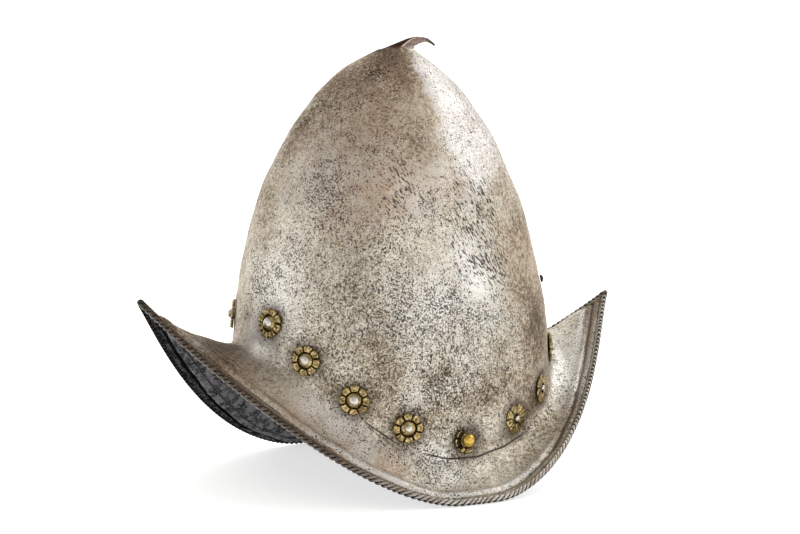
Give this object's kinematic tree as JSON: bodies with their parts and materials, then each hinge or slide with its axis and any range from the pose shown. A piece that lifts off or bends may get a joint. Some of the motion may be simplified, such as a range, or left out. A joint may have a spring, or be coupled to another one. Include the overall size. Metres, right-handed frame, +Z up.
{
  "type": "morion helmet",
  "caption": "One-piece forged steel helmet with a tall almond skull, a curled stalk on the apex, a roped brim rising to two pointed peaks, and brass lining rosettes.",
  "frame": {"origin": "on the surface that the helmet stands on, midway between the tips of its two peaks, in the midline", "axes": "+Z up; the front peak points along -Y and the rear peak along +Y; +X is the wearer's left"},
  "size_m": [0.2468, 0.3466, 0.2867],
  "materials": {
    "forged_steel": "aged, pitted, with brown patina",
    "gilt_brass": "worn and grimy in the hollows",
    "rivet_steel": "rubbed bright"
  },
  "bodies": {
    "root": {"skull_and_brim": "forged_steel", "rosette_1": "gilt_brass", "rivet_1": "rivet_steel", "rosette_2": "gilt_brass", "rivet_2": "rivet_steel", "rosette_3": "gilt_brass", "rivet_3": "rivet_steel", "rosette_4": "gilt_brass", "rivet_4": "rivet_steel", "rosette_5": "gilt_brass", "rivet_5": "gilt_brass", "rosette_6": "gilt_brass", "rivet_6": "rivet_steel", "rosette_7": "gilt_brass", "rivet_7": "rivet_steel", "rosette_8": "gilt_brass", "rivet_8": "rivet_steel", "rosette_9": "gilt_brass", "rivet_9": "rivet_steel", "rosette_10": "gilt_brass", "rivet_10": "rivet_steel", "rosette_11": "gilt_brass", "rivet_11": "rivet_steel", "rosette_12": "gilt_brass", "rivet_12": "rivet_steel", "rosette_13": "gilt_brass", "rivet_13": "rivet_steel", "rosette_14": "gilt_brass", "rivet_14": "rivet_steel", "rosette_15": "gilt_brass", "rivet_15": "rivet_steel", "rosette_16": "gilt_brass", "rivet_16": "rivet_steel", "rosette_17": "gilt_brass", "rivet_17": "rivet_steel", "rear_rivet": "rivet_steel"}
  },
  "joints": []
}
